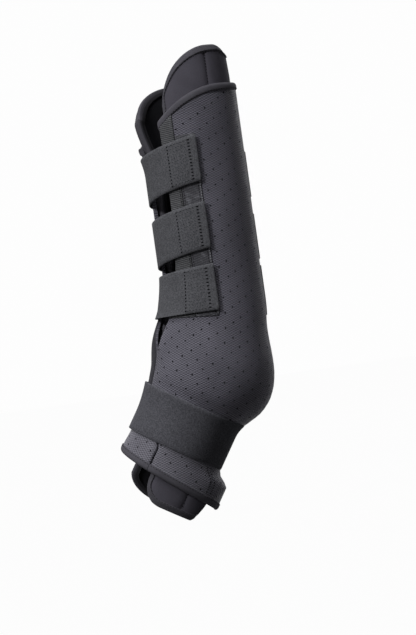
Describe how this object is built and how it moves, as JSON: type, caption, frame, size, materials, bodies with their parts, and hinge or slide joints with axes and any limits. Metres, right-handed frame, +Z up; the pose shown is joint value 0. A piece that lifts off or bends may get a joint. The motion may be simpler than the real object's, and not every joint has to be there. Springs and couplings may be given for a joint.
{
  "type": "horse leg boot",
  "caption": "Padded boot for a horse's lower leg: quilted liner in a perforated shell that opens at the front, closed by hook-and-loop elastic straps.",
  "frame": {"origin": "on the cannon's axis at the height of the fetlock joint", "axes": "+Z up along the cannon, +X to the back of the leg, -Y to the side where the straps fasten"},
  "size_m": [0.1575, 0.0984, 0.4445],
  "materials": {
    "shell_fabric": "matte",
    "liner_pad": "matte",
    "lining_fabric": "matte",
    "binding_tape": "matte",
    "facing_tape": "matte",
    "loop_tape": "matte",
    "elastic": "matte",
    "hook_tape": "matte"
  },
  "bodies": {
    "far_half": {"far_shell": "shell_fabric", "spine_shell": "shell_fabric", "far_pad": "liner_pad", "spine_pad": "liner_pad", "far_lining": "lining_fabric", "spine_lining": "lining_fabric", "far_top_binding": "binding_tape", "spine_top_binding": "binding_tape", "far_hem_binding": "binding_tape", "spine_hem_binding": "binding_tape", "far_liner_binding": "binding_tape", "spine_liner_top_binding": "binding_tape", "spine_liner_hem_binding": "binding_tape", "fetlock_landing_patch": "loop_tape", "strap_1_anchor": "elastic", "strap_2_anchor": "elastic", "strap_3_anchor": "elastic"},
    "near_half": {"near_shell": "shell_fabric", "near_pad": "liner_pad", "near_lining": "lining_fabric", "near_top_binding": "binding_tape", "near_hem_binding": "binding_tape", "near_liner_binding": "binding_tape", "edge_facing": "facing_tape", "landing_strip": "loop_tape", "fetlock_strap_anchor": "elastic"},
    "strap_1": {"strap_1_band": "elastic"},
    "tab_1": {"strap_1_tab": "elastic", "strap_1_hook_pad": "hook_tape"},
    "strap_2": {"strap_2_band": "elastic"},
    "tab_2": {"strap_2_tab": "elastic", "strap_2_hook_pad": "hook_tape"},
    "strap_3": {"strap_3_band": "elastic"},
    "tab_3": {"strap_3_tab": "elastic", "strap_3_hook_pad": "hook_tape"},
    "fetlock_strap": {"fetlock_strap_band": "elastic"},
    "fetlock_tab": {"fetlock_strap_tab": "elastic", "fetlock_hook_pad": "hook_tape"}
  },
  "joints": [
    {"name": "boot_open", "type": "hinge", "parent": "far_half", "child": "near_half", "pos_m": [0.042, -0.027, 0], "axis": [0, 0, 1], "range_deg": [0, 35]},
    {"name": "strap_1_swing", "type": "hinge", "parent": "far_half", "child": "strap_1", "pos_m": [-0.03026, 0.03321, 0.176], "axis": [0, 0, -1], "range_deg": [0, 105]},
    {"name": "tab_1_peel", "type": "hinge", "parent": "strap_1", "child": "tab_1", "pos_m": [-0.0303, -0.03596, 0.18986], "axis": [0, 0, -1], "range_deg": [0, 100]},
    {"name": "strap_2_swing", "type": "hinge", "parent": "far_half", "child": "strap_2", "pos_m": [-0.03028, 0.03321, 0.116], "axis": [0, 0, -1], "range_deg": [0, 105]},
    {"name": "tab_2_peel", "type": "hinge", "parent": "strap_2", "child": "tab_2", "pos_m": [-0.03024, -0.03596, 0.12734], "axis": [0, 0, -1], "range_deg": [0, 100]},
    {"name": "strap_3_swing", "type": "hinge", "parent": "far_half", "child": "strap_3", "pos_m": [-0.0346, 0.0351, 0.0677], "axis": [0, 0, -1], "range_deg": [0, 105]},
    {"name": "tab_3_peel", "type": "hinge", "parent": "strap_3", "child": "tab_3", "pos_m": [-0.0336, -0.0374, 0.07209], "axis": [0, 0, -1], "range_deg": [0, 100]},
    {"name": "fetlock_strap_swing", "type": "hinge", "parent": "near_half", "child": "fetlock_strap", "pos_m": [-0.0793, -0.0272, -0.03318], "axis": [0.478, -0.0283, 0.8779], "range_deg": [0, 105]},
    {"name": "fetlock_tab_peel", "type": "hinge", "parent": "fetlock_strap", "child": "fetlock_tab", "pos_m": [-0.07571, 0.03495, -0.03547], "axis": [0.4863, 0.0346, 0.8731], "range_deg": [0, 100]}
  ],
  "couplings": [
    {"joint": "strap_1_swing", "follows": "boot_open", "ratio": 3},
    {"joint": "strap_2_swing", "follows": "boot_open", "ratio": 3},
    {"joint": "strap_3_swing", "follows": "boot_open", "ratio": 3},
    {"joint": "fetlock_strap_swing", "follows": "boot_open", "ratio": 3}
  ]
}
